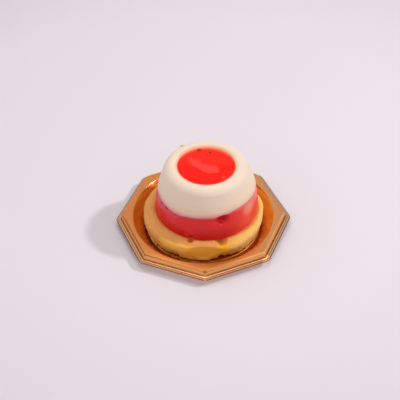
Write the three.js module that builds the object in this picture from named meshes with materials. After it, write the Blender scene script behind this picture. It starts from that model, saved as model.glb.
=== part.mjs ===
// A single-portion strawberry cheesecake, cup shaped, on its octagonal cake tray.
//
// Millimetres, +Z up. The origin is the centre of the tray on the surface that
// it stands on. -Y is the front, and one corner of the tray points at it.
// From the bottom up: a pressed tray, a disc of sponge, a layer of strawberry
// jelly, a layer of cheese cream with a shallow dish in its top, and a pool of
// strawberry sauce that fills the dish.

import * as THREE from 'three';

// ---------------------------------------------------------------- sizes, mm

const GAP = 0.3;                 // between layers that touch on the real cake

// Tray: eight-sided outside, with a round well for the cake.
const SIDES = 8;
const TRAY_CORNER_RADIUS = 45;   // centre to corner of the outer lip
const TRAY_WALL = 0.7;           // thickness of the pressed sheet
const LIP_HEIGHT = 4.0;          // top of the outer lip above the table
const LIP_WIDTH = 1.2;           // flat lip outside the thin raised bead
const BEAD_HEIGHT = 0.3;         // thin bead that stiffens the lip
const CREST_RADIUS = 41.6;       // centre to corner where the slope meets the brim
const BRIM_HEIGHT = 7.3;         // top of the flat brim
const WELL_RADIUS = 36;          // round edge between brim and well
const FLOOR_RADIUS = 29.5;       // foot of the sloping well wall
const FLOOR_HEIGHT = 1.0;        // top of the well floor
const CORNER_ROUND = 3;          // plan radius of the eight corners
const BACK_LIFT = 1.0;           // the thin sheet is bent up by this at the back
const TRAY_STEPS = 80;           // steps round the tray, ten to a side

// Cake: layers that share one axis, a little right of the tray's centre.
const CAKE_X = 1.68;
const SPONGE_X = -0.5;

const SPONGE_TOP = 13.1;
const SPONGE_RADIUS = 30.6;      // at its widest, halfway up
const SPONGE_FOOT_RADIUS = 28.6; // its torn lower edge, a little above the tray
const SPONGE_FACE = 29.3;        // centre to the flat that is cut across the front
const SPONGE_STEPS = 80;

const JELLY_BOTTOM = SPONGE_TOP + GAP;
const JELLY_FOOT_RADIUS = 25.95;
const JOIN_RADIUS = 24.57;       // side of the cake where jelly meets cream
const JOIN_HEIGHT = 26.24;
const JOIN_TILT = 0.9;           // the join is this much higher at the right
const JOIN_LIFT = 0.4;           // and both its sides are lifted by this
const JOIN_WAVES = [             // angle, half width in degrees, rise
  [-130, 20, -1.0],
  [-50, 18, 1.2],
  [-15, 30, 0.6],
];

const CAKE_TOP = 39.72;          // crest of the cream ring round the sauce
const RING_RADIUS = 17.0;        // flat part of that ring
const SHOULDER_RADIUS = 4.5;     // rounding from the ring to the side
const SHOULDER_START = 15.5;     // degrees above level, where the side runs into it
const DISH_RADIUS = 14.8;        // shallow dish that holds the sauce
const DISH_FLOOR = 37.4;
const LAYER_STEPS = 72;

const SAUCE_X = CAKE_X - 0.2;
const SAUCE_RADIUS = 14.45;
const SAUCE_OVAL = 0.2;          // the pool is this much wider than it is deep
const SAUCE_TOP = 38.95;

const DEGREE = Math.PI / 180;

// ------------------------------------------------------------ shape helpers

// A solid of revolution about +Z from a profile of (radius, height) that runs
// from the axis out along the underside and back over the top to the axis.
// Angle zero is the front, -Y.
function turned(profile, steps, curveSteps) {
  const geometry = new THREE.LatheGeometry(profile.getPoints(curveSteps), steps);
  geometry.rotateX(Math.PI / 2);
  return geometry;
}

// Moves every vertex by a rule in cylindrical terms: the rule gets the angle
// in degrees from +X, the radius and the height, and returns the new three.
// Every rule below adds small unevenness to an even, turned shape.
function warp(geometry, rule) {
  const position = geometry.getAttribute('position');
  for (let i = 0; i < position.count; i += 1) {
    const x = position.getX(i);
    const y = position.getY(i);
    const moved = rule(Math.atan2(y, x) / DEGREE, Math.hypot(x, y), position.getZ(i));
    const angle = moved.angle * DEGREE;
    position.setXYZ(i, moved.radius * Math.cos(angle), moved.radius * Math.sin(angle), moved.height);
  }
  position.needsUpdate = true;
  geometry.computeVertexNormals();
  return geometry;
}

// One smooth hump, 1 at its centre, that fades within about two half widths.
function hump(value, centre, halfWidth) {
  return Math.exp(-(((value - centre) / halfWidth) ** 2));
}

// The same along an angle in degrees, the short way round.
function humpAt(angle, centre, halfWidth) {
  const turn = ((angle - centre + 540) % 360) - 180;
  return hump(turn, 0, halfWidth);
}

// 0 below the first value, 1 above the second, smooth between them.
function ramp(value, from, to) {
  return THREE.MathUtils.smoothstep(value, from, to);
}

function layer(name, geometry, x, color, roughness, metalness) {
  const material = new THREE.MeshStandardMaterial({ color, roughness, metalness });
  const mesh = new THREE.Mesh(geometry, material);
  mesh.name = name;
  mesh.position.x = x;
  return mesh;
}

// --------------------------------------------------------------------- tray

// Radius of an eight-sided plan with rounded corners, over the radius of its
// corners before rounding, at an angle in degrees from a corner.
function octagonFactor(angle, cornerRadius) {
  const half = Math.PI / SIDES;
  const turn = (((angle + 22.5) % 45) + 45) % 45 - 22.5;
  const fromCorner = Math.abs(turn) * DEGREE;
  const centre = cornerRadius - CORNER_ROUND / Math.cos(half);
  const tangent = Math.atan2(CORNER_ROUND * Math.sin(half), centre + CORNER_ROUND * Math.cos(half));
  if (fromCorner < tangent) {
    const across = centre * Math.sin(fromCorner);
    const reach = centre * Math.cos(fromCorner) + Math.sqrt(CORNER_ROUND ** 2 - across ** 2);
    return reach / cornerRadius;
  }
  return Math.cos(half) / Math.cos(half - fromCorner);
}

function trayProfile() {
  const wellSlope = 0.75;                    // the well wall's fillets, along the radius
  const under = TRAY_WALL;
  const slopeUnder = TRAY_WALL * 0.87;       // sideways offset under the outer slope
  const bead = TRAY_CORNER_RADIUS - LIP_WIDTH;
  const groove = bead - 0.45;
  const lipUnder = LIP_HEIGHT - under;
  const brimUnder = BRIM_HEIGHT - under;
  const wallShift = under / 2;               // the wall slopes at about 45 degrees
  const profile = new THREE.Path();

  // Underside, from the middle of the floor out to the lip.
  profile.moveTo(0, 0);
  profile.lineTo(FLOOR_RADIUS - wellSlope, 0);
  profile.quadraticCurveTo(FLOOR_RADIUS + wallShift, 0, FLOOR_RADIUS + 1.5, FLOOR_HEIGHT + 0.35);
  profile.lineTo(WELL_RADIUS - 0.35, brimUnder - 0.7);
  profile.quadraticCurveTo(WELL_RADIUS + wallShift, brimUnder, WELL_RADIUS + 1.2, brimUnder);
  profile.lineTo(CREST_RADIUS - slopeUnder - 0.5, brimUnder);
  profile.lineTo(groove - slopeUnder, lipUnder + 0.2);
  profile.quadraticCurveTo(groove - 0.2, lipUnder - 0.15, bead, lipUnder);
  profile.lineTo(TRAY_CORNER_RADIUS - 0.3, lipUnder);

  // Lip, bead, groove, outer slope, brim, well wall and floor.
  profile.quadraticCurveTo(
    TRAY_CORNER_RADIUS + 0.25, LIP_HEIGHT - under / 2, TRAY_CORNER_RADIUS - 0.35, LIP_HEIGHT,
  );
  profile.lineTo(bead + 0.35, LIP_HEIGHT);
  profile.quadraticCurveTo(bead, LIP_HEIGHT + 2 * BEAD_HEIGHT, bead - 0.35, LIP_HEIGHT);
  profile.quadraticCurveTo(groove, LIP_HEIGHT - 0.15, groove - 0.3, LIP_HEIGHT + 0.35);
  profile.lineTo(CREST_RADIUS + 0.15, BRIM_HEIGHT - 0.45);
  profile.quadraticCurveTo(CREST_RADIUS - 0.1, BRIM_HEIGHT, CREST_RADIUS - 0.8, BRIM_HEIGHT);
  profile.lineTo(WELL_RADIUS + 0.9, BRIM_HEIGHT);
  profile.quadraticCurveTo(WELL_RADIUS, BRIM_HEIGHT, WELL_RADIUS - 0.75, BRIM_HEIGHT - 0.7);
  profile.lineTo(FLOOR_RADIUS + wellSlope, FLOOR_HEIGHT + 0.75);
  profile.quadraticCurveTo(FLOOR_RADIUS, FLOOR_HEIGHT, FLOOR_RADIUS - wellSlope, FLOOR_HEIGHT);
  profile.lineTo(0, FLOOR_HEIGHT);
  return profile;
}

function buildTray() {
  const crowding = 0.75;                     // steps crowd towards the corners
  const roundUpTo = WELL_RADIUS + 1.5;       // the plan is round inside this
  const eightFrom = CREST_RADIUS - 2;        // and eight-sided outside this
  return warp(turned(trayProfile(), TRAY_STEPS, 2), (angle, radius, height) => {
    const turn = angle - crowding * Math.sin(SIDES * angle * DEGREE) / SIDES / DEGREE;
    const eight = ramp(radius, roundUpTo, eightFrom);
    const plan = octagonFactor(turn, Math.max(radius, WELL_RADIUS));
    const outward = radius * (1 + eight * (plan - 1));
    const back = outward * Math.sin(turn * DEGREE);
    const lift = BACK_LIFT * ramp(back, 0, CREST_RADIUS);
    const bend = lift * ramp(outward, FLOOR_RADIUS, WELL_RADIUS);
    return { angle: turn, radius: outward, height: height + bend };
  });
}

// ------------------------------------------------------------------- sponge

function buildSponge() {
  const bottom = FLOOR_HEIGHT + GAP;
  const profile = new THREE.Path();
  profile.moveTo(0, bottom);
  profile.lineTo(SPONGE_FOOT_RADIUS - 1.3, bottom);
  profile.lineTo(SPONGE_FOOT_RADIUS, bottom + 1.2);
  profile.lineTo(SPONGE_FOOT_RADIUS + 0.9, bottom + 3);
  profile.splineThru([
    new THREE.Vector2(SPONGE_RADIUS - 0.4, bottom + 5.6),
    new THREE.Vector2(SPONGE_RADIUS, bottom + 8),
    new THREE.Vector2(SPONGE_RADIUS - 0.5, bottom + 9.9),
    new THREE.Vector2(SPONGE_RADIUS - 1.9, SPONGE_TOP - 0.9),
    new THREE.Vector2(SPONGE_RADIUS - 4.2, SPONGE_TOP - 0.1),
  ]);
  profile.lineTo(JELLY_FOOT_RADIUS - 1.5, SPONGE_TOP);
  profile.lineTo(0, SPONGE_TOP);

  return warp(turned(profile, SPONGE_STEPS, 1), (angle, radius, height) => {
    const low = 1 - ramp(height, bottom + 2.5, bottom + 7.5);
    const side = ramp(radius, SPONGE_FOOT_RADIUS - 4, SPONGE_FOOT_RADIUS - 0.5);
    const high = ramp(height, bottom + 6, SPONGE_TOP - 0.5);

    // The torn foot reaches out at the right, and is pulled in at the front
    // left and right of the front.
    const foot = 0.8 * humpAt(angle, 10, 30) + 0.6 * humpAt(angle, -45, 14)
      - 1.6 * humpAt(angle, -70, 8) + 0.25 * humpAt(angle, -91, 7) - 0.9 * humpAt(angle, -121, 9);
    const tears = 0.28 * Math.sin(24 * angle * DEGREE + 1) * Math.sin(7 * angle * DEGREE)
      + 0.16 * Math.sin(41 * angle * DEGREE);
    const waves = 0.16 * Math.sin(5 * angle * DEGREE + 0.8) + 0.1 * Math.sin(11 * angle * DEGREE);

    // Seen from above the disc is a little wider at the front right and
    // narrower at the back left, and a flat is cut across its front.
    const oval = 0.4 * Math.cos(angle * DEGREE) - 0.4 * Math.sin(angle * DEGREE)
      - 0.8 * humpAt(angle, 150, 25);
    const face = SPONGE_FACE / Math.max(0.1, -Math.sin(angle * DEGREE));
    const outward = radius + side * (low * (foot + tears) + (1 - low) * (waves + oval));

    // A hole and a notch where the top ring meets the jelly.
    const hole = 1.3 * humpAt(angle, -103.8, 3) * hump(radius, 26.4, 1.5);
    const notch = 1.7 * humpAt(angle, -71.5, 5) * hump(radius, 28, 2);
    const dents = high * (hole + notch);
    const rolling = 0.15 * Math.sin(3 * angle * DEGREE) + 0.12 * Math.sin(8 * angle * DEGREE + 2);
    const outer = ramp(radius, JELLY_FOOT_RADIUS, JELLY_FOOT_RADIUS + 2);

    return {
      angle,
      radius: Math.min(outward, face),
      height: height - dents + outer * high * rolling,
    };
  });
}

// ------------------------------------------------------------- cake layers

// How far the join between jelly and cream stands above JOIN_HEIGHT at a
// place on the cake: it leans to one side, and it waves along its outer edge.
function joinLift(angle, radius) {
  const across = (radius * Math.cos(angle * DEGREE)) / JOIN_RADIUS;
  const waves = JOIN_WAVES.reduce(
    (sum, [centre, halfWidth, rise]) => sum + rise * humpAt(angle, centre, halfWidth), 0,
  );
  return JOIN_TILT * across + JOIN_LIFT * across ** 2 + waves * ramp(radius, 12, JOIN_RADIUS);
}

// Depth of the pit in the side of the jelly, right of the front, under the
// join: a gap where a piece of strawberry lies behind the surface.
function pitDepth(angle, height) {
  return 1.7 * humpAt(angle, -73, 6.5) * hump(height, JOIN_HEIGHT - 2.1, 2.1);
}

function buildJelly() {
  const rise = JOIN_HEIGHT - JELLY_BOTTOM;
  const profile = new THREE.Path();
  profile.moveTo(0, JELLY_BOTTOM);
  profile.lineTo(JELLY_FOOT_RADIUS - 0.7, JELLY_BOTTOM);
  profile.lineTo(JELLY_FOOT_RADIUS, JELLY_BOTTOM + 0.5);
  profile.splineThru([
    new THREE.Vector2(JELLY_FOOT_RADIUS - 0.3, JELLY_BOTTOM + 0.33 * rise),
    new THREE.Vector2(JELLY_FOOT_RADIUS - 0.75, JELLY_BOTTOM + 0.62 * rise),
    new THREE.Vector2(JOIN_RADIUS + 0.3, JELLY_BOTTOM + 0.82 * rise),
    new THREE.Vector2(JOIN_RADIUS, JOIN_HEIGHT - GAP / 2),
  ]);
  profile.lineTo(JOIN_RADIUS - 0.4, JOIN_HEIGHT - GAP / 2);
  profile.lineTo(0, JOIN_HEIGHT - GAP / 2);

  return warp(turned(profile, LAYER_STEPS, 2), (angle, radius, height) => {
    const share = Math.max(0, (height - JELLY_BOTTOM) / rise);
    const outer = ramp(radius, JOIN_RADIUS - 3, JOIN_RADIUS);
    const slump = 0.12 * Math.sin(4 * angle * DEGREE + 1) + 0.2 * humpAt(angle, -90, 40);
    return {
      angle,
      radius: radius + outer * (slump * (1 - share) - pitDepth(angle, height)),
      height: height + joinLift(angle, radius) * share,
    };
  });
}

function buildCream() {
  const centre = CAKE_TOP - SHOULDER_RADIUS; // height of the shoulder's centre
  const start = SHOULDER_START * DEGREE;
  const shoulderStart = new THREE.Vector2(
    RING_RADIUS + SHOULDER_RADIUS * Math.cos(start), centre + SHOULDER_RADIUS * Math.sin(start),
  );
  const profile = new THREE.Path();
  profile.moveTo(0, JOIN_HEIGHT + GAP / 2);
  profile.lineTo(JOIN_RADIUS - 0.45, JOIN_HEIGHT + GAP / 2);
  profile.lineTo(JOIN_RADIUS - 0.08, JOIN_HEIGHT + GAP / 2 + 0.25);
  profile.splineThru([
    new THREE.Vector2(JOIN_RADIUS - 1.2, JOIN_HEIGHT + 4),
    new THREE.Vector2(JOIN_RADIUS - 2.25, JOIN_HEIGHT + 7.2),
    shoulderStart,
  ]);
  profile.absarc(RING_RADIUS, centre, SHOULDER_RADIUS, start, Math.PI / 2);
  profile.quadraticCurveTo(DISH_RADIUS + 1, CAKE_TOP, DISH_RADIUS + 0.2, SAUCE_TOP);
  profile.lineTo(DISH_RADIUS - 0.4, DISH_FLOOR + 0.4);
  profile.lineTo(DISH_RADIUS - 1.1, DISH_FLOOR);
  profile.lineTo(0, DISH_FLOOR);

  return warp(turned(profile, LAYER_STEPS, 2), (angle, radius, height) => {
    const share = 1 - ramp(height, JOIN_HEIGHT + GAP / 2, CAKE_TOP - 6);
    const outer = ramp(radius, JOIN_RADIUS - 3, JOIN_RADIUS);
    const lean = 0.45 * humpAt(angle, 0, 50) * ramp(height, JOIN_HEIGHT + 4, CAKE_TOP - 3)
      * ramp(radius, DISH_RADIUS, RING_RADIUS);
    const ringSway = 0.1 * Math.sin(2 * angle * DEGREE + 0.6) * ramp(height, SAUCE_TOP, CAKE_TOP);
    return {
      angle,
      radius: radius - lean - 0.6 * outer * pitDepth(angle, height),
      height: height + joinLift(angle, radius) * share + ringSway,
    };
  });
}

function buildSauce() {
  const bottom = DISH_FLOOR + GAP;
  const profile = new THREE.Path();
  profile.moveTo(0, bottom);
  profile.lineTo(SAUCE_RADIUS - 1.2, bottom);
  profile.lineTo(SAUCE_RADIUS - 0.3, bottom + 0.5);
  profile.lineTo(SAUCE_RADIUS, SAUCE_TOP - 0.35);
  profile.quadraticCurveTo(SAUCE_RADIUS - 0.1, SAUCE_TOP - 0.1, SAUCE_RADIUS - 1.2, SAUCE_TOP - 0.08);
  profile.lineTo(0.6 * SAUCE_RADIUS, SAUCE_TOP);
  profile.lineTo(0, SAUCE_TOP);

  return warp(turned(profile, LAYER_STEPS, 2), (angle, radius, height) => {
    const oval = SAUCE_OVAL * Math.cos(2 * angle * DEGREE) * ramp(radius, 0, SAUCE_RADIUS);
    const skin = ramp(height, SAUCE_TOP - 0.2, SAUCE_TOP);
    const swirl = 0.1 * Math.sin(0.28 * radius + 2 * angle * DEGREE) * skin * ramp(radius, 0, 5);
    return { angle, radius: radius + oval - 0.1, height: height + swirl };
  });
}

// ------------------------------------------------------------ the whole cake

const cheesecake = new THREE.Group();
cheesecake.add(
  layer('tray', buildTray(), 0, 0xc47a3a, 0.35, 0.9),
  layer('sponge_base', buildSponge(), SPONGE_X, 0xdc9a56, 0.85, 0),
  layer('strawberry_layer', buildJelly(), CAKE_X, 0xc42a2c, 0.35, 0),
  layer('cheese_layer', buildCream(), CAKE_X, 0xefd9c2, 0.5, 0),
  layer('strawberry_sauce', buildSauce(), SAUCE_X, 0xfb2416, 0.2, 0),
);

export default cheesecake;
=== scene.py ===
# %% [markdown]
# # A strawberry cheesecake on its gold tray
#
# This lesson dresses a small cup-moulded cheesecake: a pressed eight-sided tray, a disc of
# sponge, a layer of strawberry jelly, a domed layer of cheese cream and a pool of red sauce.
# The plain solids already have the right sizes, so every piece here is modelled finer in the
# same place and then stands for its solid. Heights and radii are written in millimetres and
# become metres through MM.

import bmesh
import bpy
import math
import random
from mathutils import Euler, Matrix, Vector, noise


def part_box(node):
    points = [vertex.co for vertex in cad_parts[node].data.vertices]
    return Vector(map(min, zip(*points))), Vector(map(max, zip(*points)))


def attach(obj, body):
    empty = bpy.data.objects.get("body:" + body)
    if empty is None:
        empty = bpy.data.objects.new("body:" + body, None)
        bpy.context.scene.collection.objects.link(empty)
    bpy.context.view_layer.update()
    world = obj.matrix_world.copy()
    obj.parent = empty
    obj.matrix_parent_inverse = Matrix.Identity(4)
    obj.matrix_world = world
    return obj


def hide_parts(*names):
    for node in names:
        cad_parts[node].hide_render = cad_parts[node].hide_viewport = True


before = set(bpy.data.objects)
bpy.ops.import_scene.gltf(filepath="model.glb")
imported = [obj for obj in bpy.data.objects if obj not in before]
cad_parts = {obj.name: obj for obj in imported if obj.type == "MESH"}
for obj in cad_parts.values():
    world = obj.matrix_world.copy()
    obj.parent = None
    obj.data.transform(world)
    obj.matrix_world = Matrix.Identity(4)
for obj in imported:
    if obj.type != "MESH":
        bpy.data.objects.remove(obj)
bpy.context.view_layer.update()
MM = 0.001
print("solids:", sorted(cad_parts))

# %% [markdown]
# ## Tools for the bench
#
# Most steps open one piece, pick some of its corners, edges or faces by where they are, and
# run an edit operator on them. Three small helpers keep those steps short. Picking by place
# is chosen over counting indices, because it still works after the mesh has changed.


# %% Helpers for editing
def set_down():
    """Leaves edit mode with nothing selected."""
    if bpy.context.mode != "OBJECT":
        bpy.ops.object.mode_set(mode="OBJECT")
    bpy.ops.object.select_all(action="DESELECT")


def take_up(piece):
    """Opens one piece for editing, with nothing of it selected."""
    set_down()
    piece.select_set(True)
    bpy.context.view_layer.objects.active = piece
    bpy.ops.object.mode_set(mode="EDIT")
    bpy.ops.mesh.select_all(action="DESELECT")


def pick(piece, kind, test):
    """Selects each VERT, EDGE or FACE whose corners all pass the test, and counts them."""
    bpy.ops.mesh.select_all(action="DESELECT")
    bpy.ops.mesh.select_mode(type=kind)
    mesh = bmesh.from_edit_mesh(piece.data)
    items = {"VERT": mesh.verts, "EDGE": mesh.edges, "FACE": mesh.faces}[kind]
    chosen = 0
    for item in items:
        points = [item.co] if kind == "VERT" else [corner.co for corner in item.verts]
        if all(test(point / MM) for point in points):
            item.select_set(True)
            chosen += 1
    mesh.select_flush_mode()
    bmesh.update_edit_mesh(piece.data)
    return chosen


def reach(point):
    """Distance of a point from the upright axis."""
    return math.hypot(point.x, point.y)


def azimuth(point):
    """Angle of a point round the upright axis, in degrees from +X."""
    return math.degrees(math.atan2(point.y, point.x))


def smooth(piece, angle=40):
    """Shades a piece smooth, but keeps its folds sharper than the angle."""
    set_down()
    piece.select_set(True)
    bpy.context.view_layer.objects.active = piece
    bpy.ops.object.shade_smooth_by_angle(angle=math.radians(angle))
    set_down()


# %% [markdown]
# ## Profiles
#
# The sponge and the layers of the cake are round, so each starts as half of its outline. A
# lathe of many steps could be built from rings of extruded circles, but spinning one outline
# is quicker and keeps its curve exact. The outline is drawn by extruding a single corner from
# point to point, and the spin is closed by merging its doubles. Each piece is shaped while its
# axis is the world's, and carried to its own axis at the end.


# %% Helpers for round pieces
def through(points, count):
    """A smooth run through (radius, height) points, with count steps between neighbours."""
    ends = [points[0]] + list(points) + [points[-1]]
    run = []
    for before, start, stop, after in zip(ends, ends[1:], ends[2:], ends[3:]):
        for step in range(count):
            t = step / count
            weights = (
                -0.5 * t + t * t - 0.5 * t ** 3,
                1 - 2.5 * t * t + 1.5 * t ** 3,
                0.5 * t + 2 * t * t - 1.5 * t ** 3,
                -0.5 * t * t + 0.5 * t ** 3,
            )
            corners = (before, start, stop, after)
            radius = sum(weight * corner[0] for weight, corner in zip(weights, corners))
            height = sum(weight * corner[1] for weight, corner in zip(weights, corners))
            run.append((radius, height))
    return run + [points[-1]]


def arc(centre, radius, start, stop, count):
    """A round stretch of outline, its angles in degrees from the outward direction."""
    turns = [math.radians(start + (stop - start) * step / count) for step in range(count + 1)]
    return [(centre[0] + radius * math.cos(t), centre[1] + radius * math.sin(t)) for t in turns]


def spin(name, outline, steps):
    """Spins an outline round the upright axis into one closed skin."""
    set_down()
    bpy.ops.mesh.primitive_circle_add(vertices=3, radius=MM)
    piece = bpy.context.object
    piece.name = name
    take_up(piece)
    bpy.ops.mesh.select_all(action="SELECT")
    bpy.ops.mesh.merge(type="CENTER")
    bpy.ops.transform.translate(value=(outline[0][0] * MM, 0, outline[0][1] * MM))
    for start, stop in zip(outline, outline[1:]):
        step = ((stop[0] - start[0]) * MM, 0, (stop[1] - start[1]) * MM)
        bpy.ops.mesh.extrude_vertices_move(TRANSFORM_OT_translate={"value": step})
    bpy.ops.mesh.select_all(action="SELECT")
    bpy.ops.mesh.spin(steps=steps, angle=math.tau, center=(0, 0, 0), axis=(0, 0, 1))
    bpy.ops.mesh.select_all(action="SELECT")
    bpy.ops.mesh.remove_doubles(threshold=0.001 * MM)
    bpy.ops.mesh.normals_make_consistent(inside=False)
    set_down()
    return piece


def carry(piece, across):
    """Moves a shaped piece's mesh across to its own axis, and shades it smooth."""
    take_up(piece)
    bpy.ops.mesh.select_all(action="SELECT")
    bpy.ops.transform.translate(value=(across * MM, 0, 0))
    smooth(piece, 60)
    print(piece.name, len(piece.data.polygons), "faces")


# %% [markdown]
# Food is never quite even. Its waves, dents and tears are written as small rules of the place:
# how strong something is at an angle round the axis, or at a height, and how it fades.


# %% Helpers for uneven shapes
def outward(angle):
    """The level direction at an angle in degrees."""
    turn = math.radians(angle)
    return Vector((math.cos(turn), math.sin(turn), 0))


def hump(value, centre, half_width):
    """1 at the centre, fading smoothly to 0 within about two half widths."""
    return math.exp(-(((value - centre) / half_width) ** 2))


def hump_at(angle, centre, half_width):
    """The same round a circle, in degrees."""
    return hump((angle - centre + 180) % 360 - 180, 0, half_width)


def patch(across, along):
    """1 inside an ellipse of half sizes 1, falling off fast at its edge."""
    return math.exp(-math.hypot(across, along) ** 4)


def ramp(value, low, high):
    """0 below low, 1 above high, smooth between."""
    share = min(1, max(0, (value - low) / (high - low)))
    return share * share * (3 - 2 * share)


# %% [markdown]
# ## The tray
#
# The real tray is one thin sheet, metallised in a copper gold and pressed in a mould: a flat
# lip with a thin bead and a groove, a steep outer slope, a flat brim, and a round well with a
# sloping wall. It could be a spun bowl pushed out to eight sides, but its crisp creases come
# out better the way a folder would draw it: an octagon with rounded corners is extruded ring
# by ring up to the brim, turned into a circle there and extruded on down into the well.

# %% Sizes of the tray
BACK_LIFT = 1.0
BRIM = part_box("tray")[1].z / MM - BACK_LIFT
LIP = 3.9
LIP_CORNER = 44.93
CREST_CORNER = 41.6
WELL_EDGE = 36.0
WELL_FOOT = 29.5
FLOOR = 1.0
SHEET = 0.5
REST_REACH = 26.6
CORNER_STEPS = 6
SIDE_STEPS = 18
CORNER_RADIUS = 3.0
CORNER_CUT = CORNER_RADIUS * math.tan(math.radians(22.5))
WELL_TURN = (WELL_FOOT + 0.4, FLOOR + 0.35)
FOOT_GROOVE = [
    (29.55, 0.8), (29.2, 0.7), (28.85, 0.85), (28.5, 1.04),
    (27.6, 1.04), (27.1, 1.0), (26.5, 1.0),
]
LIP_FOOT = (42.3, 4.85)
LIP_RINGS = [
    (44.75, 4.05), (44.4, 4.08), (43.8, 4.1), (43.6, 4.1), (43.45, 4.25), (42.85, 4.52),
    (42.68, 4.46), (42.55, 4.25), (42.42, 4.3), LIP_FOOT,
]
print("brim height", round(BRIM, 2), "mm, sheet", SHEET, "mm")


def corner_reach(point):
    """Centre-to-corner size of the octagon that a point lies on."""
    turn = (azimuth(point) + 22.5) % 45 - 22.5
    return reach(point) * math.cos(math.radians(22.5 - abs(turn))) / math.cos(math.radians(22.5))


# %% Outline of the lip
set_down()
bpy.ops.mesh.primitive_circle_add(vertices=8, radius=LIP_CORNER * MM)
tray = bpy.context.object
tray.name = "tray_sheet"
take_up(tray)
bpy.ops.mesh.select_all(action="SELECT")
bpy.ops.transform.translate(value=(0, 0, LIP * MM))
bpy.ops.mesh.bevel(offset=CORNER_CUT * MM, segments=CORNER_STEPS, affect="VERTICES")
bpy.ops.mesh.select_all(action="DESELECT")
bpy.ops.mesh.select_mode(type="EDGE")
outline_mesh = bmesh.from_edit_mesh(tray.data)
for edge in outline_mesh.edges:
    edge.select_set(edge.calc_length() > CORNER_RADIUS * MM)
bmesh.update_edit_mesh(tray.data)
bpy.ops.mesh.subdivide(number_cuts=SIDE_STEPS - 1)
bpy.ops.mesh.select_all(action="SELECT")
print("corners in the outline", len(bmesh.from_edit_mesh(tray.data).verts))


# %% [markdown]
# Each ring of the tray is the last one, extruded in place, scaled about the tray's axis and
# moved to its own height. The same helper makes the eight-sided rings and the round ones.


# %% Rings from the lip to the brim
def next_ring(ring_from, ring_to):
    """Extrudes the selected loop and takes it from one (radius, height) to the next."""
    bpy.ops.mesh.extrude_edges_move(TRANSFORM_OT_translate={"value": (0, 0, 0)})
    scale = ring_to[0] / ring_from[0]
    bpy.ops.transform.resize(value=(scale, scale, 1), center_override=(0, 0, 0))
    bpy.ops.transform.translate(value=(0, 0, (ring_to[1] - ring_from[1]) * MM))


rings = [(LIP_CORNER, LIP)] + LIP_RINGS + [(CREST_CORNER, BRIM)]
for ring_from, ring_to in zip(rings, rings[1:]):
    next_ring(ring_from, ring_to)

# %% [markdown]
# From the crest the sheet turns inward as a flat brim. The loop is extruded once more and made
# round by moving each corner out from the axis to the well's radius, at its own angle, so the
# faces of the brim run straight from side to circle. From there the well goes down and closes.


# %% The brim and the round well
def make_round(piece, radius):
    """Puts the selected loop on a circle, each corner at its own angle."""
    loop = [corner for corner in bmesh.from_edit_mesh(piece.data).verts if corner.select]
    for corner in loop:
        stretch = radius * MM / reach(corner.co)
        corner.co.x *= stretch
        corner.co.y *= stretch
    bmesh.update_edit_mesh(piece.data)


next_ring((CREST_CORNER, BRIM), (CREST_CORNER, BRIM))
make_round(tray, WELL_EDGE)
rings = [(WELL_EDGE, BRIM), WELL_TURN] + FOOT_GROOVE
for ring_from, ring_to in zip(rings, rings[1:]):
    next_ring(ring_from, ring_to)
bpy.ops.mesh.edge_face_add()
bpy.ops.mesh.select_all(action="SELECT")
bpy.ops.mesh.normals_make_consistent(inside=False)
mesh = bmesh.from_edit_mesh(tray.data)
floor_face = max(mesh.faces, key=lambda face: len(face.verts))
floor_face.normal_update()
if floor_face.normal.z < 0:
    bpy.ops.mesh.flip_normals()
print("faces in the sharp tray", len(mesh.faces))


# %% [markdown]
# A pressed sheet has no knife edges. The loops that the mould rounds are bevelled: the crest
# between slope and brim, the mouth of the well, the foot of its wall and the foot of the
# slope. Bevelling the loops last keeps the rings above few and easy to place.


# %% Round the creases
def on_ring(radius, height, slack):
    """A test for points on the round ring of that size."""
    return lambda p: abs(reach(p) - radius) < slack and abs(p.z - height) < slack


def on_octagon(corner, height):
    """A test for points on the eight-sided ring of that size."""
    return lambda p: corner - 0.4 < corner_reach(p) < corner + 0.05 and abs(p.z - height) < 0.02


creases = [
    (on_octagon(CREST_CORNER, BRIM), 0.3, 3),
    (on_octagon(*LIP_FOOT), 0.12, 2),
    (on_ring(WELL_EDGE, BRIM, 0.02), 0.3, 4),
    (on_ring(*WELL_TURN, 0.02), 0.3, 3),
]
for test, width, segments in creases:
    found = pick(tray, "EDGE", test)
    bpy.ops.mesh.bevel(offset=width * MM, segments=segments, affect="EDGES", profile=0.5)
    print("rounded a crease of", found, "edges by", width, "mm")
set_down()

# %% [markdown]
# So far the tray is a skin. Solidify makes a sheet of it, downward, so that its upper face
# stays where it was drawn. The floor is then set down on the table.

# %% Give the sheet its thickness
solidify = tray.modifiers.new("sheet", "SOLIDIFY")
solidify.thickness = SHEET * MM
solidify.offset = -1
solidify.use_even_offset = True
bpy.context.view_layer.objects.active = tray
tray.select_set(True)
bpy.ops.object.modifier_apply(modifier="sheet")
take_up(tray)
under = pick(tray, "VERT", lambda p: p.z < FLOOR - 0.9 * SHEET and reach(p) < REST_REACH)
bpy.ops.transform.translate(value=(0, 0, (SHEET - FLOOR) * MM))
print("corners of the tray's resting face", under)

# %% [markdown]
# Handling leaves small marks in such a soft sheet: the front corner of the crest is dented,
# and there is a nick in the brim near the next corner to the right. Both are pushed in by a
# move that fades out with distance, as a fingertip dent does. The whole brim is bent up a
# little at the back and sways by less than a tenth of a millimetre.

# %% Dents from handling
DENTS = [
    ((0, -41.2), (0, 0.1, -0.45), 1.3),
    ((27.6, -27.2), (0, 0, -0.16), 0.6),
]


def dent(piece, place, depth, width):
    """Pushes the nearest point of a piece in by a vector, fading over the width."""
    nearest = min((corner.co for corner in piece.data.vertices), key=lambda co: (co - place).length)
    target = nearest.copy()
    for corner in piece.data.vertices:
        corner.co += depth * hump((corner.co - target).length, 0, width)


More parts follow.
